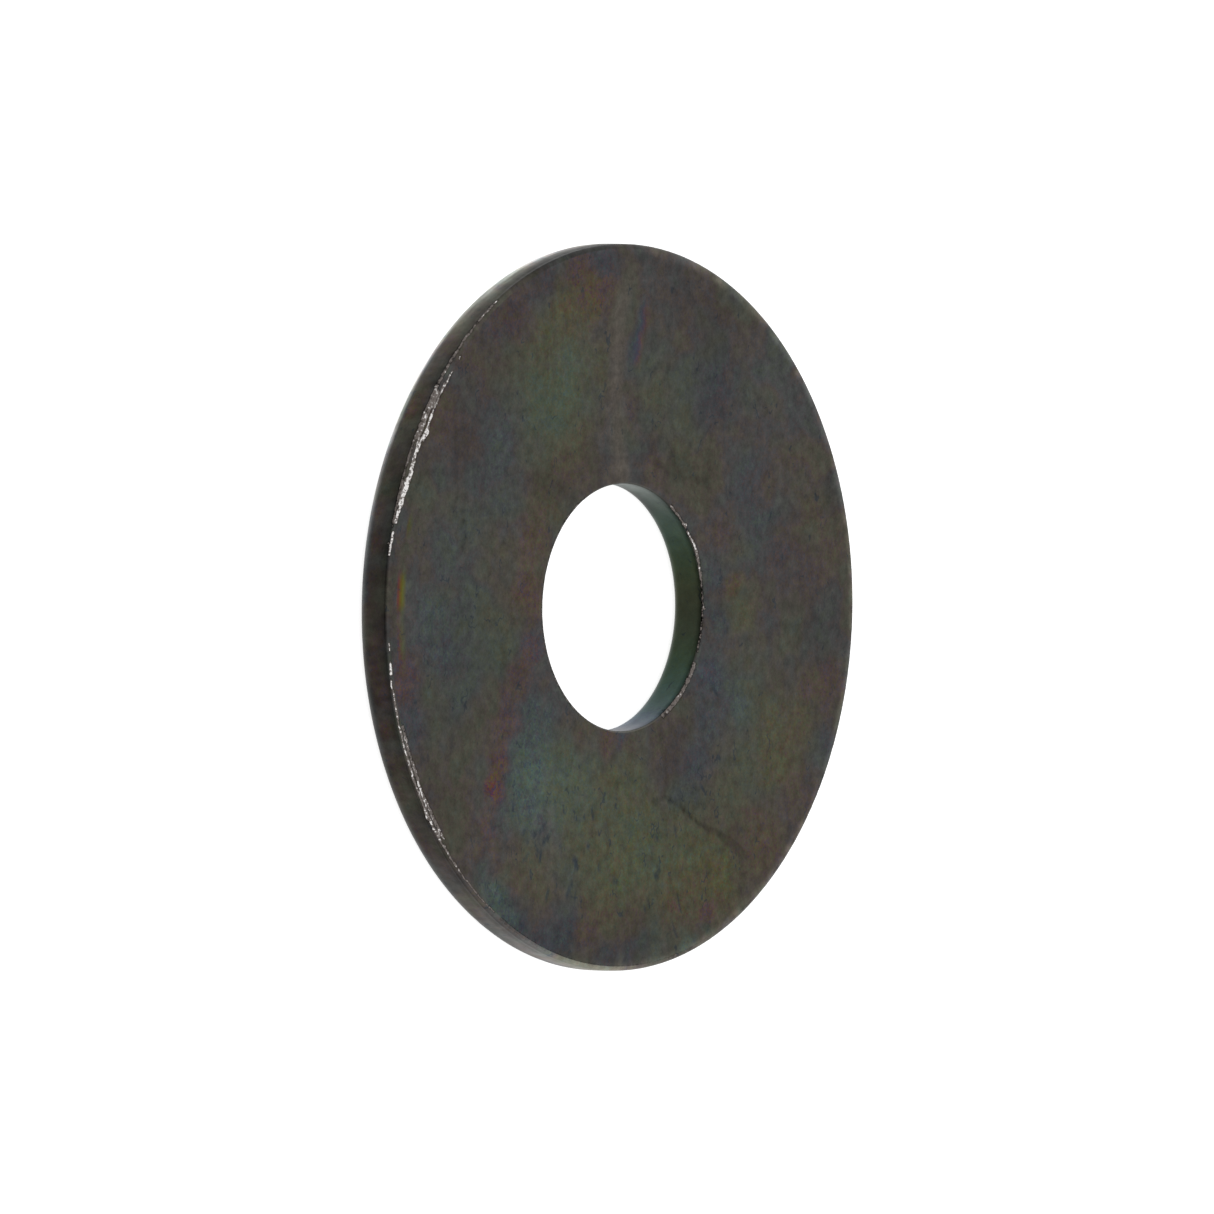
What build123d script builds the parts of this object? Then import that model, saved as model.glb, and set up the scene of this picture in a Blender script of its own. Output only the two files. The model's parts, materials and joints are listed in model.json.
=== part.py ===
from build123d import *
import os

# Large-series flat washer for an M16 bolt, blanked and pierced in one stroke from 3 mm steel sheet.
# Z is the bore's axis. The washer lies on its rolled face, and the origin is that face's centre.
# Sizes are in millimetres.

OUTER_DIAMETER = 50.0
BORE_DIAMETER = 17.0
THICKNESS = 3.0
ROLL_RADIUS = 1.3  # lower edge of the rim, drawn in by the die before the steel sheared
BORE_ROLL_RADIUS = 1.0  # lower edge of the bore, drawn in by the piercing punch's die in the same way
RIM_EDGE_RADIUS = 0.35  # upper edge of the rim, where the burr has been tumbled off
BORE_EDGE_RADIUS = 0.15  # upper edge of the bore, broken lightly

rim_radius = OUTER_DIAMETER / 2
bore_radius = BORE_DIAMETER / 2

os.makedirs("parts", exist_ok=True)

with BuildPart() as washer:
    # Cross-section from the bore wall out to the rim: lower face, rim, upper face, bore wall
    with BuildSketch(Plane.XZ):
        with BuildLine():
            FilletPolyline(
                (bore_radius, 0),
                (rim_radius, 0),
                (rim_radius, THICKNESS),
                (bore_radius, THICKNESS),
                radius=(BORE_ROLL_RADIUS, ROLL_RADIUS, RIM_EDGE_RADIUS, BORE_EDGE_RADIUS),
                close=True,
            )
        make_face()
    revolve(axis=Axis.Z)

washer.part.label = "washer"
export_step(washer.part, "parts/washer.step")
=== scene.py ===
"""Looks of a large-series flat washer: a blanked steel ring in dark passivated zinc plate.

The washer lies flat on a pale light table. Lengths are in millimetres until a mesh or an object is made.
Angles round the washer are in degrees, from +X towards +Y where nothing else is said.
"""

import json
import math

import bpy
import numpy as np
from mathutils import Matrix, Vector, noise


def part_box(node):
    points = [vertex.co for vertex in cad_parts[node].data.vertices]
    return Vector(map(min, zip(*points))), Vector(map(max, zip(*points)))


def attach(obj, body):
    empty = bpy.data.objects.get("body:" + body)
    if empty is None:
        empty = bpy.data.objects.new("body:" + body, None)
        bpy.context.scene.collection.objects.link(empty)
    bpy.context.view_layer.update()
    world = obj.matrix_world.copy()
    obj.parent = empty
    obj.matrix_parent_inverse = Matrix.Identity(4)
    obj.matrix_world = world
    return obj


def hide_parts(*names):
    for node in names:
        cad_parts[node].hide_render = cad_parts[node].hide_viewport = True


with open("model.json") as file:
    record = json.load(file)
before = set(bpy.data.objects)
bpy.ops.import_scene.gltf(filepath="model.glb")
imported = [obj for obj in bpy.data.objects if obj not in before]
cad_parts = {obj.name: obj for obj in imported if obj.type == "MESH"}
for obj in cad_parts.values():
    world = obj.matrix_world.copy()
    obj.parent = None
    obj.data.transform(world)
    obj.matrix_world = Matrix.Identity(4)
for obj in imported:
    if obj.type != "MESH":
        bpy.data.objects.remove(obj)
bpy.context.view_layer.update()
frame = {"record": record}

MM = 0.001

# Sizes that the frame gives
_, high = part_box("washer")
mounts = {mount["name"]: mount for mount in frame["record"]["mounts"]}
RIM_RADIUS = high[0] / MM
THICKNESS = high[2] / MM
BORE_RADIUS = mounts["bore"]["dims"]["r_mm"]

# Edge radii of the stamping
ROLL_RADIUS = 1.3
BORE_ROLL_RADIUS = 1.0
RIM_EDGE_RADIUS = 0.35
BORE_EDGE_RADIUS = 0.15
RIM_EDGE_LENGTH = RIM_EDGE_RADIUS * math.pi / 2
BORE_EDGE_LENGTH = BORE_EDGE_RADIUS * math.pi / 2

SEGMENTS = 960  # round the washer

# Thin-film colours. The order is a film thickness: it runs through these colours and starts again at every
# whole number.
FILM_COLOURS = [
    (0.00, (0.084, 0.058, 0.072)),  # magenta
    (0.10, (0.061, 0.058, 0.074)),  # violet
    (0.22, (0.053, 0.065, 0.081)),  # blue
    (0.36, (0.068, 0.098, 0.086)),  # teal
    (0.50, (0.074, 0.096, 0.064)),  # green
    (0.62, (0.083, 0.092, 0.054)),  # yellow green
    (0.74, (0.088, 0.081, 0.046)),  # yellow
    (0.84, (0.094, 0.073, 0.046)),  # orange
    (0.94, (0.098, 0.058, 0.055)),  # red
    (1.00, (0.084, 0.058, 0.072)),  # magenta again
]
NEUTRAL = (0.0770, 0.0740, 0.0655)  # the plate where the film shows no colour
BARE = (0.97, 0.95, 0.93)  # fresh metal
RUBBED = (0.192, 0.167, 0.154)  # plate that is rubbed thin
SPECK = (0.032, 0.043, 0.054)
SMEAR = (0.116, 0.101, 0.085)

# Patches of film on the upper face: x, y, order, strength of colour, reach
FILM_PATCHES = [
    # green patch ringed by yellow, orange and red
    (-14, -8, 0.50, 1.0, 2.6), (-15.5, -6, 0.46, 1.1, 1.5), (-18, -8.5, 0.70, 1.1, 2.0),
    (-16, -4, 0.68, 0.8, 1.6), (-11, -6, 0.72, 0.8, 1.5), (-20.5, -6, 0.80, 1.2, 1.5),
    (-21.5, -3.5, 0.86, 1.3, 1.3), (-22.7, -5, 0.95, 1.2, 1.1), (-20, -12, 0.94, 0.8, 1.4),
    (-19, -13.6, 0.03, 0.9, 1.3), (-23.6, -3, 0.12, 0.9, 1.0), (-22.5, -9.5, 0.08, 0.6, 1.3),
    (-9.5, -6, 0.84, 0.9, 1.3),
    # grey-blue side
    (-12, -13, 0.26, 0.6, 1.8), (-16, -15.5, 0.93, 0.5, 1.6), (-11.5, -18.5, 0.94, 0.6, 1.5),
    (-13, -20.5, 0.84, 0.7, 1.3), (-7, -13, 0.24, 0.6, 2.0), (-5, -17, 0.28, 0.5, 2.2),
    (-8, -20, 0.45, 0.2, 2.0), (0, -16, 0.40, 0.3, 2.0), (0.3, -19.8, 0.30, 0.8, 1.3),
    (3.5, -19.5, 0.22, 0.9, 1.4), (7, -18, 0.36, 0.5, 2.0), (5.2, -23, 0.03, 1.2, 0.9),
    (8, -22, 0.14, 0.9, 1.2), (6.5, -20, 0.5, 0.4, 1.2),
    # warm band beside the bore, which runs on as a red streak
    (-7, -8.5, 0.80, 0.9, 1.2), (-4.5, -9.6, 0.88, 1.0, 1.2), (-1, -10.3, 0.90, 1.3, 1.2),
    (3.3, -10, 0.00, 1.2, 0.9), (0.5, -13, 0.74, 0.7, 1.5), (3.5, -13.5, 0.50, 0.6, 1.4),
    (-4, -13, 0.70, 0.6, 1.5), (5, -11.2, 0.92, 1.1, 1.0), (8, -12, 0.95, 1.3, 1.1),
    (10.5, -12.6, 0.94, 1.8, 0.8), (12.5, -13.4, 0.95, 2.2, 0.8), (15.5, -14.2, 0.97, 0.9, 1.1),
    (17.5, -14, 0.90, 0.8, 1.0), (9, -16.5, 0.62, 0.3, 2.2), (14, -17, 0.84, 0.3, 2.0),
    # teal beside the streak, then green, olive and orange across the wide lower part
    (8, -9.5, 0.28, 1.0, 1.4), (11, -9.5, 0.37, 1.2, 1.8), (13.5, -10.5, 0.34, 1.1, 1.4),
    (15.5, -8.5, 0.27, 0.8, 1.2), (12.5, -5.5, 0.50, 1.0, 2.2), (16, -4, 0.64, 0.9, 2.4),
    (18, -4.5, 0.46, 0.7, 1.0), (12, 0, 0.66, 1.0, 2.2), (16, 3, 0.61, 1.1, 2.6), (19, 0, 0.65, 1.25, 2.0),
    (18, 8, 0.70, 1.3, 2.4), (18.3, 10.8, 0.76, 1.5, 1.6), (20.3, 6.5, 0.84, 1.2, 1.3),
    (21, 9.2, 0.95, 1.6, 0.8), (21, -1.5, 0.82, 0.9, 1.3), (21.3, 1.5, 0.86, 0.9, 0.9),
    (22.4, -5.2, 0.16, 0.9, 1.0), (22.8, -2.8, 0.96, 0.8, 0.8), (23.4, -0.8, 0.14, 0.9, 0.8),
    (23.2, 1.6, 0.20, 0.8, 0.8), (21.6, -3.4, 0.86, 1.0, 0.8), (18.5, -9, 0.72, 0.7, 1.5),
    (19.3, -10.5, 0.86, 0.7, 0.9), (18.8, -14.3, 0.38, 1.0, 0.8), (19.9, -13.0, 0.33, 1.2, 0.8),
    (20.8, -11.6, 0.29, 1.3, 0.8), (21.4, -10.3, 0.25, 1.2, 0.7), (22.6, -7.6, 0.12, 0.9, 0.9),
    (23.2, 7.4, 0.38, 0.9, 0.6), (22.4, 9.6, 0.40, 0.9, 0.5), (23.3, 4, 0.36, 0.5, 1.0),
    (23.5, -8, 0.2, 0.5, 1.2),
    # under the bore
    (8.9, -4.2, 0.84, 0.9, 0.9), (9.3, -1.5, 0.96, 1.2, 0.8), (9.6, 1.5, 0.92, 0.7, 0.9),
    (8.7, 0.3, 0.12, 1.2, 0.5), (10.5, 5, 0.9, 0.3, 1.6),
    # blue crescent on the far side of the bore, with orange and green outside it
    (-2, 9.8, 0.20, 0.59, 0.8), (1, 10.5, 0.20, 0.94, 0.9), (4.8, 9.6, 0.18, 1.1, 1.0),
    (8, 9.5, 0.22, 0.9, 1.2), (10.8, 7.5, 0.20, 0.85, 1.2), (12.3, 6, 0.26, 0.68, 1.0),
    (7.5, 12.8, 0.30, 0.85, 1.2), (4.5, 12.6, 0.40, 0.51, 1.0), (-1.7, 11.6, 0.84, 1.2, 0.7),
    (0.2, 13.1, 0.70, 1.0, 0.9), (3.5, 14, 0.60, 0.5, 1.2),
    # warm far side
    (8, 15.5, 0.69, 0.95, 1.8), (10, 17, 0.75, 1.15, 1.6), (7.5, 19.5, 0.74, 1.0, 1.4),
    (11.5, 12.5, 0.63, 0.77, 1.8), (15.5, 15, 0.84, 1.1, 1.6), (5, 20, 0.84, 0.85, 1.3),
    (4.5, 22.3, 0.95, 0.94, 1.3), (9.5, 22, 0.2, 0.51, 1.2), (12.5, 19.5, 0.9, 0.59, 1.4),
    (2, 18, 0.5, 0.26, 2.0), (0, 17, 0.1, 0.26, 1.8),
    # mixed far upper part
    (-4, 17.5, 0.97, 0.62, 1.4), (-2.8, 20.3, 0.94, 0.55, 1.3), (-5, 23, 0.9, 0.7, 1.0),
    (-7.2, 20.3, 0.80, 0.7, 1.3), (-10, 18.3, 0.84, 0.62, 1.4), (-6, 14.5, 0.26, 0.62, 1.2),
    (-9, 13.3, 0.22, 0.62, 1.1), (-8.5, 14.9, 0.95, 0.47, 0.8), (-5.5, 11, 0.94, 0.78, 1.1),
    (-9, 8, 0.78, 0.31, 1.5), (-12.5, 13.6, 0.86, 0.39, 0.9), (-14.5, 13, 0.26, 0.47, 1.4),
    (-15, 10, 0.14, 0.62, 1.5), (-12.5, 17, 0.24, 0.31, 1.3), (-11.5, 6, 0.66, 0.55, 1.4),
    (-14.5, 3.5, 0.56, 0.55, 1.6), (-17.5, 4.5, 0.52, 0.39, 1.8), (-19.5, 6, 0.94, 0.39, 1.6),
    (-20, 9, 0.92, 0.31, 1.5), (-9.6, 3.2, 0.95, 0.62, 0.8), (-13, 0.9, 0.92, 0.7, 0.7),
]
OPEN_WEIGHT = 0.22  # the plain plate's weight between patches

# Marks on the upper face, as lines through x, y
FRINGE_ROUTE = [(-22.0, 2.3), (-19.4, 1.5), (-17.8, 0.9), (-16.2, 0.6)]
SMEAR_ROUTE = [(-24.6, 0.6), (-22, -0.3), (-20, -1.0), (-15, -1.3), (-11, -0.9), (-9, -0.4)]
# Creases and dark strokes in the face: places x, y along each, its half width and how strong it is
CREASES = [
    ([(13.0, 4.9), (13.5, 6.3), (14.4, 7.8), (15.2, 9.4)], 0.04, 0.9),
    ([(15.0, 9.2), (15.7, 11.3)], 0.14, 0.7), ([(15.7, 11.3), (16.5, 12.8)], 0.28, 0.5),
    ([(16.5, 12.8), (17.0, 14.2)], 0.14, 0.35), ([(16.6, 12.9), (17.8, 13.4), (19.4, 13.1)], 0.12, 0.3),
    ([(13.4, 3.6), (13.0, 4.9)], 0.02, 0.5), ([(10.2, 4.6), (11.5, 5.0), (13.0, 4.9)], 0.10, 0.35),
    ([(-10.2, 3.0), (-9.0, 6.0), (-8.8, 8.6)], 0.10, 0.4),
    ([(-6.6, -17.3), (-5.2, -17.0), (-3.6, -17.1)], 0.03, 0.6),
]
STROKES = [
    ([(16.2, -3.1), (16.7, -3.6)], 0.08, 1.2), ([(17.4, -4.7), (17.9, -4.4)], 0.16, 1.3),
    ([(16.2, -6.3), (16.8, -6.1)], 0.05, 0.9), ([(19.1, -4.9), (19.9, -5.5)], 0.07, 1.1),
    ([(19.5, -7.3), (20.1, -7.7)], 0.06, 1.0), ([(17.7, 4.5), (18.5, 4.0)], 0.08, 1.2),
    ([(18.5, -0.8), (19.0, -0.1)], 0.05, 1.1), ([(17.7, -2.1), (18.1, -1.9)], 0.07, 1.3),
    ([(14.0, -2.9), (14.5, -2.8)], 0.08, 1.2), ([(14.9, -7.9), (15.5, -8.5)], 0.05, 1.1),
    ([(15.9, -7.6), (16.3, -8.2)], 0.09, 1.2), ([(16.4, -8.9), (16.9, -8.3), (17.5, -8.4)], 0.05, 1.3),
    ([(15.1, -9.3), (15.6, -8.9)], 0.04, 1.1), ([(15.4, -10.1), (16.4, -9.6)], 0.04, 0.9),
    ([(16.9, -9.5), (17.5, -10.1)], 0.05, 1.0), ([(17.8, -7.9), (18.1, -7.3)], 0.05, 1.0),
    ([(15.8, 6.2), (15.2, 6.0)], 0.06, 1.0), ([(15.4, 4.3), (15.9, 4.1)], 0.04, 1.2),
    ([(19.8, 6.5), (20.7, 6.7)], 0.03, 1.0), ([(21.9, 6.0), (22.6, 6.4)], 0.05, 0.9),
    ([(5.4, 9.8), (5.9, 10.2)], 0.05, 1.1), ([(20.3, 3.4), (20.8, 2.9)], 0.05, 1.0),
    ([(12.3, 8.8), (12.8, 9.3)], 0.05, 1.1), ([(14.9, 13.0), (15.5, 13.3)], 0.05, 0.9),
]

# Broad paler and darker parts of the upper face: x, y, how much darker, reach
TONE_PATCHES = [
    # bright wide lower part
    (12.3, -8.5, -0.20, 2.8), (12, -4, -0.12, 2.4), (17, -7.5, -0.10, 2.8), (19.5, -13.6, -0.16, 1.3),
    (17, -1, -0.08, 3.2), (13.2, 1.5, -0.06, 2.0), (17.5, 5.5, -0.06, 2.5), (14.5, -12.8, -0.06, 1.6),
    # its dark lower margin
    (23, -5.5, 0.13, 2.2), (22.6, 2.5, 0.12, 2.2), (21.6, -10.2, 0.08, 1.2), (22.8, -1.5, 0.06, 1.6),
    (23.2, 7.6, -0.20, 0.8), (23.9, 4.2, -0.24, 0.6), (22.2, 10.8, -0.14, 0.8), (20.8, 13.2, -0.10, 0.8),
    (24.3, 0.2, -0.14, 0.5), (24.2, -4.0, -0.12, 0.5), (19.2, 15.0, -0.10, 0.6),
    # grey left side
    (-12.2, -17.5, 0.13, 2.4), (-9.6, -17, 0.10, 1.8), (-16.5, -14.5, 0.07, 2.6), (-9, -20.4, 0.10, 1.3),
    (2, -17, 0.06, 3.6), (8, -18, 0.08, 3.0), (13, -18.4, 0.10, 2.0), (5, -12.4, 0.07, 2.0),
    (1.5, -22.2, -0.10, 1.6), (-0.6, -23.4, -0.16, 0.8), (-3.5, -11.5, -0.06, 1.6),
    # round the bore
    (-8.4, -9.2, 0.14, 1.3), (-8.0, -6.9, 0.15, 1.2), (-9.7, -3.6, 0.15, 1.2), (-11.2, 2.6, 0.10, 1.4),
    (-12.3, 5.0, -0.10, 1.0), (-10, 5.6, 0.15, 1.2), (-8.9, 8.4, 0.14, 1.2), (0, 9.6, 0.12, 1.5),
    (7.4, 7.0, 0.10, 1.4), (9.2, 5.3, 0.12, 1.6), (11.5, 6, 0.10, 1.6), (13, 8.4, 0.08, 1.3),
    (9.5, -11.8, -0.04, 1.6),
    # upper side
    (-18, -6, -0.07, 3.2), (-14, -7, -0.06, 2.8), (-21.5, 5.8, 0.12, 1.9), (-18.5, 9, 0.12, 2.4),
    (-14, 9, 0.07, 3.0), (-21, 9.6, 0.08, 1.6), (-22.6, 1.6, -0.06, 1.0), (-22.4, -9, 0.09, 1.3),
    (-19.8, -12.4, 0.09, 1.6),
    # far side
    (0.5, 20.5, 0.12, 2.8), (-5, 17, 0.06, 2.6), (-8, 22.2, 0.11, 1.3), (1, 12.9, -0.07, 1.2),
    (9, 15.5, -0.06, 3.2), (-15, 16.5, -0.05, 2.6), (4, 21.8, 0.05, 1.4), (16, 12.6, 0.06, 1.4),
]

# Where dark specks and fine scratches gather: x, y, density, reach
SPECK_PATCHES = [
    (15, 3, 0.9, 6), (13, -5, 0.6, 3), (17.5, -10, 0.9, 3), (-13.5, 4, 0.9, 2.2), (19, 9, 0.8, 4),
    (11.5, 10, 0.8, 3.5), (0, -17, 0.5, 4), (8, -15, 0.4, 4),
]
SCRATCH_PATCHES = [
    (17.3, -10.8, 1.0, 2.6), (20, -3, 0.5, 3), (20, 7, 0.5, 3), (2, -16.5, 0.5, 3.5), (-6, -17, 0.4, 3),
]

# Worn marks along the rim's upper edge. Each is a line of places with a half width and how bare it is.
# A place is an angle, measured from -Y towards -X, and a distance across the edge: 0 at the end of the flat
# face, less further in and more down the rim.
RIM_WEAR = [
    # bright flecks above the middle
    ([(7.6, 0.32), (11.2, 0.26)], 0.06, 0.90), ([(9.2, 0.42), (9.5, 0.50)], 0.03, 0.86),
    ([(12.8, 0.18), (14.8, 0.12)], 0.09, 0.94), ([(15.8, 0.06), (18.6, -0.10), (21.6, -0.26)], 0.17, 0.97),
    ([(16.0, 0.18), (20.0, 0.10)], 0.08, 0.74), ([(22.0, -0.16), (27.0, -0.12)], 0.17, 0.78),
    ([(24.3, -0.05), (25.0, -0.20)], 0.07, 0.92), ([(27.6, -0.36), (29.0, -0.46)], 0.17, 0.97),
    ([(28.4, -0.62), (28.8, -0.50)], 0.06, 0.88), ([(29.2, -0.40), (32.0, -0.30)], 0.10, 0.84),
    ([(32.2, -0.28), (36.0, -0.24), (40.6, -0.22)], 0.04, 0.82),
    ([(33.0, -0.10), (38.5, -0.08)], 0.04, 0.66), ([(31.2, 0.12), (31.4, 0.36)], 0.04, 0.92),
    ([(27.0, 0.08), (36.0, 0.10)], 0.12, 0.64), ([(43.0, -0.14), (43.6, -0.06)], 0.03, 0.74),
    # the ridge that runs beside them
    ([(12.0, 0.38), (30.0, 0.34)], 0.06, 0.60), ([(30.0, 0.34), (44.0, 0.38)], 0.09, 0.62),
    ([(44.0, 0.38), (56.5, 0.42)], 0.07, 0.60), ([(55.8, 0.42), (56.4, 0.42)], 0.03, 0.92),
    # below the middle
    ([(-6.4, 0.12), (-7.6, 0.18)], 0.04, 0.78), ([(-9.6, 0.18), (-11.2, 0.22)], 0.07, 0.90),
    ([(-12.2, 0.26), (-13.4, 0.28)], 0.04, 0.84),
    ([(-14.0, 0.22), (-26.0, 0.22), (-40.0, 0.18)], 0.05, 0.72),
    ([(-20.0, -0.06), (-30.0, -0.10)], 0.11, 0.62), ([(-30.0, -0.08), (-40.0, -0.13)], 0.11, 0.66),
    ([(-29.5, -0.08), (-34.0, 0.02)], 0.05, 0.80), ([(-22.0, -0.22), (-23.0, -0.06)], 0.03, 0.80),
    ([(-39.0, 0.10), (-41.0, -0.18)], 0.03, 0.74),
    ([(-28.0, 0.26), (-38.0, 0.24), (-46.0, 0.15)], 0.045, 0.70),
    ([(-35.0, 0.30), (-36.2, 0.36)], 0.04, 0.90), ([(-40.0, 0.15), (-58.0, 0.10)], 0.035, 0.62),
    ([(-47.0, 0.06), (-47.4, 0.20)], 0.03, 0.90),
    # faint flecks on the rest of the edge
    ([(-60.0, 0.10), (-100.0, 0.10)], 0.08, 0.36), ([(-100.0, 0.12), (-150.0, 0.12)], 0.10, 0.42),
    ([(-150.0, 0.10), (-179.0, 0.10)], 0.08, 0.38),
]
# How much darker the rim is, less than 0 where it is paler. Each row is the same angle, then the amounts
# near the upper edge and low down, and what is added where the rim curves in. Where it is paler, the rim
# carries painted reflection of the pale table and surroundings, strongest low down and where it curves in.
RIM_TONE = [
    (-180, 0, 0, 0), (-100, -0.4, 0, 0), (-88, -3.2, -2.0, 0), (-80, -3.0, -1.0, 0),
    (-72, -1.9, -0.20, 0.4), (-64, -0.85, 0.10, 0.6), (-56, -0.38, 0.08, 0.3), (-44, -0.04, 0.16, 0),
    (-30, -0.16, 0.22, 0), (-7, 0.0, 0.06, 0), (7, 0.02, 0.04, -0.5), (22, -0.16, -0.12, -3.6),
    (35, -0.14, -0.20, -8.4), (44, 0.02, -0.50, -9.4), (51, -0.24, -1.80, -8.8), (58, -0.24, -5.60, -5.4),
    (66, 0.16, -9.60, -2.4), (75, 0.36, -11.0, -1.0), (85, 0.30, -9.00, 0), (100, 0, 0, 0), (180, 0, 0, 0),
]
# Worn marks along the bore's upper edge, in the same way, with angles from +X towards +Y
BORE_WEAR = [
    ([(31, 0.06), (48, -0.04), (64, -0.02)], 0.15, 0.60), ([(46, -0.10), (47, -0.06)], 0.05, 0.80),
    ([(62, -0.20), (64, 0.00)], 0.05, 0.80), ([(70, 0.08), (104, 0.08)], 0.06, 0.48),
    ([(90, -0.10), (91, 0.0)], 0.04, 0.92), ([(104, 0.04), (118, -0.02)], 0.12, 0.62),
    ([(107, -0.08), (109, -0.04)], 0.04, 0.84), ([(114, -0.12), (124, 0.00)], 0.09, 0.68),
    ([(117, -0.04), (126, 0.04)], 0.04, 0.82), ([(131, -0.12), (132.4, -0.02)], 0.04, 0.98),
    ([(126, 0.04), (145, 0.08)], 0.06, 0.66), ([(-30, 0.04), (-150, 0.04)], 0.04, 0.52),
]
# Film on the bore's wall: angle, order, strength
BORE_FILM = [
    (0, 0.16, 0.8), (15, 0.19, 1.2), (28, 0.25, 1.6), (42, 0.36, 1.5), (54, 0.41, 1.7), (66, 0.47, 1.6),
    (80, 0.54, 1.0), (95, 0.60, 1.0), (108, 0.54, 1.4), (122, 0.46, 1.5), (135, 0.42, 1.4),
    (150, 0.40, 1.0), (180, 0.36, 0.8), (230, 0.48, 1.2), (270, 0.62, 1.2), (320, 0.40, 1.2),
    (360, 0.12, 0.8),
]


def smooth_step(low_end, high_end, value):
    t = np.clip((value - low_end) / (high_end - low_end), 0, 1)
    return t * t * (3 - 2 * t)


def noise_field(points, size, seed):
    """Smooth noise, about -1 to 1, with features of the given size, at each point."""
    shift = Vector((seed * 17.3, seed * 5.1, seed * 11.7))
    return np.array([noise.noise(Vector(p) + shift) for p in points / np.asarray(size, float)])


def distance_to(points, route):
    """Distance in plan from each point to a broken line."""
    best = np.full(len(points), np.inf)
    for start, end in zip(route, route[1:]):
        start, run = np.array(start), np.subtract(end, start)
        t = np.clip((points[:, :2] - start) @ run / (run @ run), 0, 1)
        best = np.minimum(best, np.linalg.norm(points[:, :2] - start - t[:, None] * run, axis=1))
    return best


def gathered(points, patches):
    """Sum of soft round patches, each given as x, y, amount, reach."""
    return sum(amount * np.exp(-((points[:, 0] - x) ** 2 + (points[:, 1] - y) ** 2) / reach**2)
               for x, y, amount, reach in patches)


# --- Mesh -------------------------------------------------------------------------------------------------


def arc(centre_r, centre_z, radius, start, end, count):
    """Points of a rounded edge, without its last one. Angles are in degrees from +r towards +z."""
    angles = np.radians(np.linspace(start, end, count, endpoint=False))
    return np.stack([centre_r + radius * np.cos(angles), centre_z + radius * np.sin(angles)], 1)


def straight(start, end, count):
    """Points of a straight run, without its last one."""
    return np.linspace(start, end, count, endpoint=False)


def cross_section():
    """The closed outline of the ring's section, as (r, z) points, from the bore's upper edge outwards."""
    top, rim, bore = THICKNESS, RIM_RADIUS, BORE_RADIUS
    edge_r = rim - RIM_EDGE_RADIUS
    lip_r = bore + BORE_EDGE_RADIUS
    return np.concatenate([
        straight((lip_r, top), (lip_r + 0.6, top), 4),
        straight((lip_r + 0.6, top), (edge_r - 1.2, top), 34),
        straight((edge_r - 1.2, top), (edge_r, top), 15),
        arc(edge_r, top - RIM_EDGE_RADIUS, RIM_EDGE_RADIUS, 90, 0, 8),
        straight((rim, top - RIM_EDGE_RADIUS), (rim, ROLL_RADIUS), 9),
        arc(rim - ROLL_RADIUS, ROLL_RADIUS, ROLL_RADIUS, 0, -90, 9),
        straight((rim - ROLL_RADIUS, 0), (bore + BORE_ROLL_RADIUS, 0), 9),
        arc(bore + BORE_ROLL_RADIUS, BORE_ROLL_RADIUS, BORE_ROLL_RADIUS, 270, 180, 7),
        straight((bore, BORE_ROLL_RADIUS), (bore, top - BORE_EDGE_RADIUS), 5),
        arc(lip_r, top - BORE_EDGE_RADIUS, BORE_EDGE_RADIUS, 180, 90, 3),
    ])


def section_normals(section):
    """Outward normals of the section, as (r, z)."""
    tangent = np.roll(section, -1, 0) - np.roll(section, 1, 0)
    normal = np.stack([-tangent[:, 1], tangent[:, 0]], 1)
    return normal / np.linalg.norm(normal, axis=1, keepdims=True)


def grid_mesh(name, points, rings, segments):
    """A closed ring mesh from points laid out segment by segment."""
    index = np.arange(segments * rings).reshape(segments, rings)
    after, up = np.roll(index, -1, 0), np.roll(index, -1, 1)
    corner = np.roll(after, -1, 1)
    quads = np.stack([index, up, corner, after], -1).reshape(-1, 4)  # faces outwards
    mesh = bpy.data.meshes.new(name)
    mesh.from_pydata((points * MM).tolist(), [], quads.tolist())
    mesh.polygons.foreach_set("use_smooth", [True] * len(quads))
    mesh.update()
    return mesh


def store(mesh, name, values):
    """Keeps one number for each vertex, for the material to read."""
    layer = mesh.attributes.new(name, "FLOAT", "POINT")
    layer.data.foreach_set("value", np.asarray(values, np.float32))


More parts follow.
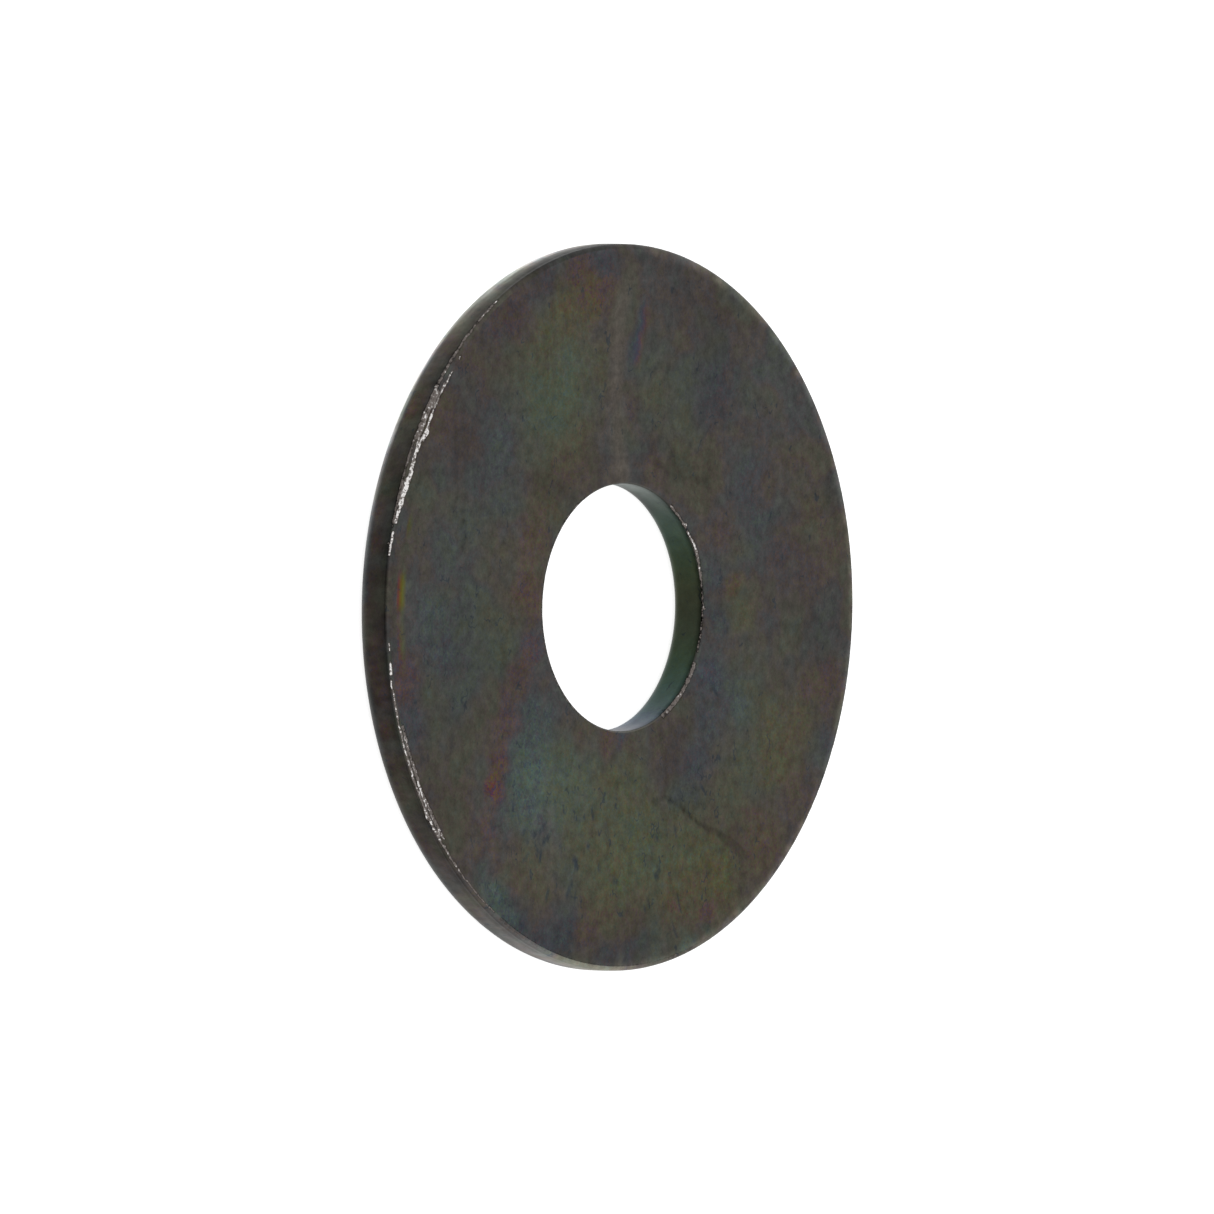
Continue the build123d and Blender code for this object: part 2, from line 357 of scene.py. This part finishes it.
class Places:
    """Where each vertex of the washer lies, in the terms that its marks are given in."""

    def __init__(self, section):
        rings = len(section)
        self.turn = np.repeat(np.linspace(0, 2 * math.pi, SEGMENTS, endpoint=False), rings)
        self.r, self.z = np.tile(section[:, 0], SEGMENTS), np.tile(section[:, 1], SEGMENTS)
        self.normal = np.tile(section_normals(section), (SEGMENTS, 1))
        self.points = self.at(self.r, self.z)
        self.upper = self.z > THICKNESS / 2
        self.face = self.z > THICKNESS - 0.001
        self.outer = self.r > (RIM_RADIUS + BORE_RADIUS) / 2
        self.inner = ~self.outer
        self.rim_side = self.outer & (self.r > RIM_RADIUS - ROLL_RADIUS) & ~self.face
        self.bore_side = self.inner & (self.r < BORE_RADIUS + BORE_ROLL_RADIUS) & ~self.face
        self.rim_edge = self.across_rim_edge()
        self.bore_edge = self.across_bore_edge()

    def at(self, r, z):
        return np.stack([r * np.cos(self.turn), r * np.sin(self.turn), z], 1)

    def across_rim_edge(self):
        """Distance along the section from the face's end: negative over the face, positive down the rim."""
        out = self.r - (RIM_RADIUS - RIM_EDGE_RADIUS)
        up = self.z - (THICKNESS - RIM_EDGE_RADIUS)
        round_edge = RIM_EDGE_RADIUS * (math.pi / 2 - np.arctan2(np.maximum(up, 0), np.maximum(out, 1e-9)))
        return np.where(up < 0, RIM_EDGE_LENGTH - up, np.where(out < 0, out, round_edge))

    def across_bore_edge(self):
        """The same from the face's inner end: negative over the face, positive down the bore."""
        out = BORE_RADIUS + BORE_EDGE_RADIUS - self.r
        up = self.z - (THICKNESS - BORE_EDGE_RADIUS)
        round_edge = BORE_EDGE_RADIUS * (math.pi / 2 - np.arctan2(np.maximum(up, 0), np.maximum(out, 1e-9)))
        return np.where(up < 0, BORE_EDGE_LENGTH - up, np.where(out < 0, out, round_edge))


def worn(along, across, marks, to_length):
    """How bare an edge is, from 0 to about 1, where its marks are lines of places along and across it."""
    wear = 0 * along
    for route, half_width, amount in marks:
        line = [(angle * to_length, place) for angle, place in route]
        distance = distance_to(np.stack([along, across], 1), line)
        wear = np.maximum(wear, amount * (1 - smooth_step(half_width, half_width + 0.09, distance)))
    return wear


def rim_wear(places):
    along = np.arctan2(-places.points[:, 0], -places.points[:, 1]) * RIM_RADIUS
    across = places.rim_edge + 0.07 * noise_field(places.points, 0.5, 5)
    return worn(along, across, RIM_WEAR, math.radians(RIM_RADIUS)) * (places.outer & places.upper)


def bore_wear(places):
    along = np.arctan2(places.points[:, 1], places.points[:, 0]) * BORE_RADIUS
    across = places.bore_edge + 0.05 * noise_field(places.points, 0.5, 6)
    return worn(along, across, BORE_WEAR, math.radians(BORE_RADIUS)) * (places.inner & places.upper)


def smear_mark(places):
    """A paler stain across the face, from the rim to the bore."""
    distance = distance_to(places.points, SMEAR_ROUTE) + 0.25 * noise_field(places.points, 1.6, 7)
    fade = smooth_step(-24.4, -20.5, places.points[:, 0])
    return (1 - smooth_step(0.2, 1.3, distance)) * fade * places.face


def drawn(places, marks, softness):
    """Marks on the face. Each is a line through places x, y, with a half width and a strength."""
    wander = np.stack([0.12 * noise_field(places.points, 0.6, seed) for seed in (8, 25)], 1)
    depth = 0 * places.r
    for route, half_width, amount in marks:
        distance = distance_to(places.points[:, :2] + wander, route)
        depth = np.maximum(depth, amount * (1 - smooth_step(half_width, half_width + softness, distance)))
    return depth * places.face


def rim_shade(places):
    """How much darker than usual the rim is: by angle, with a dark line and stains, and low down a pale
    and streaky painted reflection of the table.
    """
    points = places.points
    table = np.array(RIM_TONE)
    angle = np.degrees(np.arctan2(-points[:, 0], -points[:, 1]))
    near_edge, low_down, curved = (np.interp(angle, table[:, 0], column) for column in table[:, 1:].T)
    share = np.clip((2.4 - places.z) / 1.2, 0, 1) ** 2.5
    streaks = 1 + 0.9 * noise_field(points, (2.0, 2.0, 0.24), 27)
    # painted reflection of the pale table, low on the rim and where it curves in, broken into streaks
    low = (low_down * share + curved * smooth_step(1.1, 0.6, places.z)) * streaks
    line = smooth_step(0.28, 0.46, places.rim_edge) * (1 - smooth_step(0.55, 0.9, places.rim_edge))
    band = smooth_step(0.2, 0.5, places.rim_edge) * (1 - smooth_step(1.0, 2.2, places.rim_edge))
    stains = 0.26 * noise_field(points, (1.6, 1.6, 2.5), 18)
    stains += 0.20 * noise_field(points, (0.4, 0.4, 1.2), 19)
    return near_edge * (1 - share) + low + 0.25 * line + 0.24 * band + stains


def bore_shade(places):
    """How much darker than usual the bore's wall is, less than 0 where it is paler. Its ends carry painted
    reflection, and its lower roll painted reflection at +X and painted shade at -X.
    """
    across, turn = places.bore_edge, places.turn
    lip = 0.3 * smooth_step(0.12, 0.2, across) * (1 - smooth_step(0.28, 0.5, across))
    lip += 0.3 * np.exp(-((np.degrees(turn) - 88) / 14) ** 2) * (1 - smooth_step(0.15, 0.3, across))
    aside = np.degrees(np.arccos(np.abs(np.sin(turn))))
    # painted reflection where the wall turns edge-on at the ends, stronger at +X
    painted_end_reflection = (0.9 + 0.3 * np.sign(np.cos(turn))) * smooth_step(50, 80, aside)
    wall = 0.12 + 0.08 * smooth_step(10, 35, aside) - painted_end_reflection
    # painted reflection on the lower roll at +X, and painted shade on it at -X
    roll = -0.8 * np.cos(turn) * smooth_step(40, 70, aside) * smooth_step(1.6, 1.0, places.z)
    return lip + wall + roll + 0.08 * noise_field(places.points, (0.7, 0.7, 2.0), 22)


def face_shade(places, creases):
    """How much darker than usual the upper face is. Its margin is darker, with small pale bits, and the
    creases carry painted shade in their dents.
    """
    margin = smooth_step(22.4, 23.4, places.r) * (1 - smooth_step(24.3, 24.7, places.r))
    tone = 1.3 * gathered(places.points, TONE_PATCHES) + 0.07 * noise_field(places.points, 1.2, 16)
    tone += margin * (0.05 + 0.12 * noise_field(places.points, 0.7, 20))
    # painted shade along the creases
    return tone + 0.50 * creases * (1 + 0.5 * noise_field(places.points, 0.5, 26))


def edge_shade(places):
    """The rim's upper edge: darker where its wear stops in the middle at -Y, and a painted highlight in
    pale flecks along the far side.
    """
    angle = np.degrees(np.arctan2(-places.points[:, 0], -places.points[:, 1]))
    gap = smooth_step(-8, -4, angle) * (1 - smooth_step(5, 9, angle))
    gap *= smooth_step(-0.8, -0.1, places.rim_edge)
    # painted highlight along the far side's rounded edge, broken into flecks
    far = smooth_step(-6, 10, places.points[:, 1]) * smooth_step(-0.5, 0.1, places.rim_edge)
    flecks = np.clip(1 + 1.2 * noise_field(places.points, 0.8, 24), 0, 2)
    return (0.16 * gap - 0.8 * far * flecks) * (places.outer & places.upper & (places.rim_edge < 0.5))


def shade_marks(places, creases):
    """How much darker than usual the plate is, less than 0 where it is paler: stains and tone, with painted
    reflection, painted highlight and painted shade on the rim, bore, edge and creases.
    """
    return (rim_shade(places) * places.rim_side + bore_shade(places) * places.bore_side
            + face_shade(places, creases) * places.face + edge_shade(places))


def face_film(places):
    """The upper face's film as vectors, whose angle is the order and whose length is the strength."""
    points = places.points
    x = points[:, 0] + 0.8 * noise_field(points, 4.0, 1) + 0.7 * noise_field(points, 1.3, 3)
    y = points[:, 1] + 0.8 * noise_field(points, 4.0, 2) + 0.7 * noise_field(points, 1.3, 4)
    total = np.full(len(x), OPEN_WEIGHT)
    hue = np.zeros((len(x), 2))
    for patch_x, patch_y, order, strength, reach in FILM_PATCHES:
        weight = np.exp(-((x - patch_x) ** 2 + (y - patch_y) ** 2) / (1.1 * reach) ** 2)
        total += weight
        hue += np.outer(weight, film_vector(order, strength))
    return hue / total[:, None]


def film_vector(order, strength):
    angle = 2 * math.pi * np.asarray(order)
    return np.stack([strength * np.cos(angle), strength * np.sin(angle)], -1)


def rainbow_film(places):
    """A short rainbow along the rim's edge at -Y, as film vectors and how much they cover."""
    x = places.points[:, 0]
    inward = RIM_RADIUS - places.r
    order = 0.94 - 0.38 * smooth_step(1.0, 1.9, inward)
    run = np.exp(-((x + 0.8) / 1.3) ** 4) + 0.45 * np.exp(-((x - 2.8) / 2.0) ** 2)
    run += 0.7 * np.exp(-((x + 5.3) / 0.7) ** 2) * smooth_step(1.2, 1.5, inward)
    across = smooth_step(0.85, 1.15, inward) * (1 - smooth_step(1.6, 2.0, inward))
    cover = run * across * (places.points[:, 1] < 0)
    return film_vector(order, 2.6), np.clip(cover, 0, 1)


def fringe_film(places):
    """A blue and red fringe beside the smear, in the same terms."""
    route_x, route_y = np.array(FRINGE_ROUTE).T
    start, end = route_x[0], route_x[-1]
    x = places.points[:, 0]
    across = places.points[:, 1] - np.interp(x, route_x, route_y)
    across += 0.5 * noise_field(places.points, 0.9, 23)
    order = 0.22 - 0.32 * smooth_step(-0.6, 0.7, across)
    along = smooth_step(start, start + 2, x) * (1 - smooth_step(end - 1, end, x))
    return film_vector(order, 1.25), along * np.exp(-(across / 0.62) ** 2)


def side_film(places):
    """Film on the underside, and on the rim: red-brown and green in places. Where the rim carries painted
    reflection, the film gives way to a faint blue that keeps that reflection grey.
    """
    points = places.points
    aside = np.degrees(np.arccos(np.clip(-points[:, 1] / places.r, -1, 1)))
    stain = np.clip(0.5 + 1.3 * noise_field(points, (1.8, 1.8, 2.2), 9), 0, 1.2)
    brown = (0.95 - 0.5 * smooth_step(1.7, 2.6, places.z)) * stain * (1 - 0.7 * smooth_step(38, 55, aside))
    order = 0.93 + 0.06 * noise_field(points, (3, 3, 1.5), 10)
    under = film_vector(0.6 + 0.45 * noise_field(points, 9.0, 11), 0.8 + 0.5 * noise_field(points, 6.0, 12))
    green = 0.3 * smooth_step(-0.5, 0.5, noise_field(points, 2.0, 21))
    rim = film_vector(order, brown) + film_vector(0.55, green)
    rim *= smooth_step(0.4, 0.7, places.rim_edge)[:, None]
    # where the rim carries painted reflection: no film colour, only a faint blue that keeps it grey
    curved = smooth_step(1.4, 0.9, places.z)
    painted_reflection_tint = np.maximum(curved, smooth_step(45, 60, aside) * smooth_step(2.2, 1.2, places.z))
    painted_reflection_tint *= np.where(points[:, 0] < 0, 1, smooth_step(70, 85, aside))
    rim = rim * (1 - np.maximum(painted_reflection_tint, curved))[:, None] + film_vector(0.22, 0.3 * painted_reflection_tint)
    return np.where(places.rim_side[:, None], rim, under)


def bore_film(places):
    """Film on the bore's wall, which turns from olive through green to teal and blue."""
    angles, orders, strengths = zip(*BORE_FILM)
    angle = np.degrees(places.turn)
    below_lip = smooth_step(0.12, 0.26, places.bore_edge)
    return film_vector(np.interp(angle, angles, orders), np.interp(angle, angles, strengths) * below_lip)


def film(places, smear):
    """The whole washer's film vectors, and how even the film is."""
    face, cover = face_film(places), 0
    for (hue, amount), evenness in ((rainbow_film(places), 1.0), (fringe_film(places), 0.6)):
        face = face * (1 - amount)[:, None] + hue * amount[:, None]
        cover = np.maximum(cover, amount * evenness)
    face *= (1 - smear)[:, None]
    sides = np.where(places.bore_side[:, None], bore_film(places), side_film(places))
    even = np.where(places.face, cover, np.where(places.bore_side, 0.8, 0.2 * places.rim_side))
    return np.where(places.face[:, None], face, sides), even


def hollowed(places, wear, creases, strokes):
    """The vertices with their wear, dents and shear lines, all of which go inwards."""
    depth = 0.006 * (1 + noise_field(places.points, 6.0, 13)) * places.face
    depth += 0.04 * creases + 0.015 * strokes
    depth += wear * (0.05 + 0.06 * noise_field(places.points, 0.35, 14))
    arc_length = np.stack([places.turn * RIM_RADIUS / 0.3, places.z / 1.6, places.z * 0], 1)
    shear = 0.006 * (1 + noise_field(arc_length, 1.0, 15))
    groove = np.exp(-((places.rim_edge - RIM_EDGE_LENGTH - 0.12) / 0.12) ** 2)
    depth += (shear + 0.035 * groove) * (places.rim_side & (places.z > 0.6))
    return places.at(places.r - depth * places.normal[:, 0], places.z - depth * places.normal[:, 1])


def make_washer():
    section = cross_section()
    places = Places(section)
    wear = rim_wear(places) + bore_wear(places)
    smear, creases, strokes = smear_mark(places), drawn(places, CREASES, 0.2), drawn(places, STROKES, 0.12)
    mesh = grid_mesh("washer_body", hollowed(places, wear, creases, strokes), len(section), SEGMENTS)
    hue, even = film(places, smear)
    store(mesh, "film_x", hue[:, 0])
    store(mesh, "film_y", hue[:, 1])
    store(mesh, "film_even", even)
    store(mesh, "wear", wear)
    store(mesh, "smear", smear)
    store(mesh, "strokes", strokes)
    store(mesh, "shade", shade_marks(places, creases))
    store(mesh, "specks", gathered(places.points, SPECK_PATCHES) * places.face)
    store(mesh, "scratches", gathered(places.points, SCRATCH_PATCHES) * places.face)
    washer = bpy.data.objects.new("washer_body", mesh)
    bpy.context.scene.collection.objects.link(washer)
    return washer


# --- Materials --------------------------------------------------------------------------------------------


class Nodes:
    """Short way to add and link shader nodes."""

    def __init__(self, tree):
        self.tree = tree
        tree.nodes.clear()

    def add(self, kind, settings=None, **inputs):
        """A new node. An input is named with _ for a space, or i and its number."""
        node = self.tree.nodes.new(kind)
        for name, value in (settings or {}).items():
            setattr(node, name, value)
        for name, value in inputs.items():
            self.put(node.inputs[int(name[1:])] if name[0] == "i" and name[1:].isdigit() else
                     node.inputs[name.replace("_", " ")], value)
        return node

    def put(self, socket, value):
        if isinstance(value, bpy.types.NodeSocket):
            self.tree.links.new(value, socket)
        else:
            socket.default_value = value

    def math(self, operation, *values, clamp=False):
        node = self.add("ShaderNodeMath", {"operation": operation, "use_clamp": clamp})
        for socket, value in zip(node.inputs, values):
            self.put(socket, value)
        return node.outputs[0]

    def sum(self, *values):
        total = values[0]
        for value in values[1:]:
            total = self.math("ADD", total, value)
        return total

    def times(self, a, b):
        return self.math("MULTIPLY", a, b)

    def step(self, value, low_end, high_end):
        """Smooth step from 0 at low_end to 1 at high_end."""
        return self.add("ShaderNodeMapRange", {"interpolation_type": "SMOOTHSTEP"}, Value=value,
                        From_Min=low_end, From_Max=high_end).outputs[0]

    def attribute(self, name):
        return self.add("ShaderNodeAttribute", {"attribute_name": name}).outputs["Fac"]

    def mix(self, factor, a, b, blend="MIX"):
        node = self.add("ShaderNodeMix", {"data_type": "RGBA", "blend_type": blend, "clamp_factor": False})
        self.put(node.inputs[0], factor)
        for socket, value in zip(node.inputs[6:8], (a, b)):
            self.put(socket, (*value, 1) if isinstance(value, tuple) else value)
        return node.outputs[2]

    def ramp(self, factor, stops):
        node = self.add("ShaderNodeValToRGB")
        elements = node.color_ramp.elements
        while len(elements) < len(stops):
            elements.new(0.5)
        for element, (position, colour) in zip(elements, stops):
            element.position = position
            element.color = (*colour, 1)
        self.put(node.inputs[0], factor)
        return node.outputs[0]

    def noise(self, points, scale, detail=2.0, roughness=0.5):
        """Noise centred on 0, about -0.3 to 0.3, with scale features a millimetre."""
        node = self.add("ShaderNodeTexNoise", Vector=points, Scale=scale, Detail=detail,
                        Roughness=roughness)
        return self.math("SUBTRACT", node.outputs[0], 0.5)


def millimetres(nodes, stretch=(1, 1, 1), shift=(0, 0, 0)):
    """The washer's own coordinates in millimetres, squeezed by stretch."""
    place = nodes.add("ShaderNodeTexCoord").outputs["Object"]
    return nodes.add("ShaderNodeVectorMath", {"operation": "MULTIPLY_ADD"}, i0=place,
                     i1=tuple(s / MM for s in stretch), i2=shift).outputs[0]


def film_colour(n, here, even):
    """The plate's colour: faint film colours everywhere, and the stored patches over them."""
    rough = n.math("SUBTRACT", 1.0, even)
    mottle = n.sum(n.times(n.noise(here, 0.8, 3), 0.4), n.times(n.noise(here, 2.8, 3, 0.7), 0.65),
                   n.times(n.noise(here, 6.0, 2, 0.6), 0.65))
    faint = n.sum(n.times(n.noise(here, 0.22, 3, 0.6), 3.0), mottle)
    plate = n.mix(n.times(rough, 0.34), NEUTRAL, n.ramp(n.math("FRACT", faint), FILM_COLOURS))
    x, y = n.attribute("film_x"), n.attribute("film_y")
    order = n.sum(n.times(n.math("ARCTAN2", y, x), 1 / (2 * math.pi)), n.times(mottle, rough))
    length = n.add("ShaderNodeVectorMath", {"operation": "LENGTH"},
                   i0=n.add("ShaderNodeCombineXYZ", X=x, Y=y).outputs[0]).outputs["Value"]
    patchy = n.sum(n.times(n.noise(here, 1.8, 3, 0.8), 2.4), n.times(n.noise(here, 4.5, 2, 0.6), 1.6))
    uneven = n.sum(1.0, n.times(patchy, rough))
    return n.mix(n.times(length, uneven), plate, n.ramp(n.math("FRACT", order), FILM_COLOURS))


def stroke_marks(n):
    """Short dark curved strokes and specks, fine straight scratches, and the listed strokes."""
    here = millimetres(n, (0.72, 1.05, 1.0), (31, 7, 3))
    density = n.times(n.attribute("specks"), 0.08)
    curves = n.math("ABSOLUTE", n.noise(here, 0.9, 2, 0.6))
    strokes = n.times(n.step(curves, 0.03, 0.01), n.step(n.sum(n.noise(here, 1.1, 1), density), 0.13, 0.20))
    specks = n.step(n.sum(n.noise(here, 2.4, 1), density), 0.30, 0.36)
    lines = millimetres(n, (0.4, 3.0, 1), (5, 83, 1))
    scratches = n.sum(n.noise(lines, 1.3, 2, 0.5), n.times(n.attribute("scratches"), 0.16))
    scratches = n.step(scratches, 0.26, 0.32)
    placed = n.times(n.attribute("strokes"), n.step(n.noise(here, 2.2, 2, 0.6), -0.22, -0.04))
    return n.math("MAXIMUM", n.math("MAXIMUM", strokes, specks), n.math("MAXIMUM", scratches, placed))


def plate_material():
    material = bpy.data.materials.new("dark_zinc_plate")
    material.use_nodes = True
    n = Nodes(material.node_tree)
    here = millimetres(n)
    even = n.attribute("film_even")
    colour = film_colour(n, here, even)

    smear = n.attribute("smear")
    colour = n.mix(n.times(smear, n.sum(0.80, n.noise(here, 2.5, 3, 0.6))), colour, SMEAR)
    marks = stroke_marks(n)
    colour = n.mix(n.times(marks, 0.7), colour, SPECK)

    grain = n.sum(n.times(n.noise(here, 4.6, 2, 0.9), 0.70), n.times(n.noise(here, 1.3, 3, 0.55), 1.0))
    grain = n.times(grain, n.sum(1.0, n.times(even, -0.6)))
    worn = n.attribute("wear")
    ragged = n.sum(worn, n.times(n.noise(here, 3.4, 3, 0.75), n.sum(0.9, n.times(worn, 0.6))))
    outline = n.times(n.step(ragged, 0.16, 0.36), 0.55)
    # the stored shade darkens or pales the colour: stains and tone, with painted reflection, highlight and
    # shade
    unshaded = n.math("SUBTRACT", n.math("SUBTRACT", 1.0, n.attribute("shade")), outline)
    tone = n.times(n.sum(1.0, grain), unshaded)
    colour = n.mix(1.0, colour, n.add("ShaderNodeCombineColor", Red=tone, Green=tone, Blue=tone).outputs[0],
                   "MULTIPLY")

    breaks = n.step(n.noise(millimetres(n, (1, 0.6, 0.6), (3, 9, 27)), 6.0, 2, 0.7), 0.08, 0.03)
    rubbed = n.step(ragged, 0.40, 0.62)
    bare = n.times(n.step(ragged, 0.73, 0.80), n.sum(0.1, n.times(breaks, 0.9)))
    colour = n.mix(rubbed, colour, RUBBED)
    colour = n.mix(bare, colour, BARE)

    roughness = n.sum(0.42, n.times(n.noise(here, 1.1, 3), 0.2), n.times(smear, 0.08), n.times(bare, -0.14),
                      n.times(even, -0.1))
    relief = n.sum(grain, n.times(marks, -0.5), n.times(ragged, 0.5))
    bump = n.add("ShaderNodeBump", Strength=0.5, Distance=0.02 * MM, Height=relief)
    shader = n.add("ShaderNodeBsdfPrincipled", Base_Color=colour, Metallic=1.0, Roughness=roughness,
                   Normal=bump.outputs[0])
    n.add("ShaderNodeOutputMaterial", Surface=shader.outputs[0])
    return material


# --- Studio -----------------------------------------------------------------------------------------------

SENSOR = 36.0
CAMERA_DISTANCE = 80 * RIM_RADIUS
PICTURE_WIDTH = 1.6695 * 2 * RIM_RADIUS  # what the picture spans at the washer
ELEVATION = 40.0
ROLL = 91.1
AIM_RIGHT, AIM_UP = 0.03, 0.01  # where the picture's middle lies beside the washer's


def make_camera():
    data = bpy.data.cameras.new("camera")
    data.sensor_width = SENSOR
    data.lens = SENSOR * CAMERA_DISTANCE / PICTURE_WIDTH
    data.clip_start, data.clip_end = 0.01, 10
    tilt = Matrix.Rotation(math.radians(90 - ELEVATION), 4, "X")
    turn = tilt @ Matrix.Rotation(math.radians(ROLL), 4, "Z")
    aim = turn @ Vector((AIM_RIGHT, AIM_UP, CAMERA_DISTANCE)) + Vector((0, 0, THICKNESS / 2))
    camera = bpy.data.objects.new("camera", data)
    camera.matrix_world = Matrix.Translation(aim * MM) @ turn
    bpy.context.scene.collection.objects.link(camera)
    bpy.context.scene.camera = camera


def make_world():
    """White surroundings, darker low on one side and brighter above it. The camera sees them plain white."""
    world = bpy.data.worlds.new("studio")
    world.use_nodes = True
    bpy.context.scene.world = world
    n = Nodes(world.node_tree)
    direction = n.add("ShaderNodeTexCoord").outputs["Generated"]

    def towards(x, y, z):
        return n.add("ShaderNodeVectorMath", {"operation": "DOT_PRODUCT"}, i0=direction,
                     i1=(x, y, z)).outputs["Value"]

    dark = n.times(n.step(towards(0, -0.94, -0.34), 0.1, 1.0), -0.48)
    softbox = n.times(n.step(towards(0, -0.6, 0.8), 0.8, 0.95), 0.2)
    seen = n.add("ShaderNodeLightPath").outputs["Is Camera Ray"]
    strength = n.add("ShaderNodeMix", {"data_type": "FLOAT"}, i0=seen, i2=n.sum(1.0, dark, softbox), i3=1.0)
    background = n.add("ShaderNodeBackground", Strength=strength.outputs[0])
    n.add("ShaderNodeOutputWorld", Surface=background.outputs[0])


def make_table():
    """A light table: a plain pale surface that glows a little."""
    mesh = bpy.data.meshes.new("light_table")
    reach = 3.0
    mesh.from_pydata([(-reach, -reach, 0), (reach, -reach, 0), (reach, reach, 0), (-reach, reach, 0)], [],
                     [(0, 1, 2, 3)])
    table = bpy.data.objects.new("light_table", mesh)
    bpy.context.scene.collection.objects.link(table)
    material = bpy.data.materials.new("light_table")
    material.use_nodes = True
    n = Nodes(material.node_tree)
    shader = n.add("ShaderNodeBsdfPrincipled", Base_Color=(0.8, 0.8, 0.8, 1), Roughness=0.8,
                   Emission_Color=(1, 1, 1, 1), Emission_Strength=0.8)
    n.add("ShaderNodeOutputMaterial", Surface=shader.outputs[0])
    mesh.materials.append(material)
    table.visible_glossy = False


washer = make_washer()
washer.data.materials.append(plate_material())
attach(washer, "root")
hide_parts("washer")

make_camera()
make_world()
make_table()
bpy.context.scene.view_settings.view_transform = "Standard"
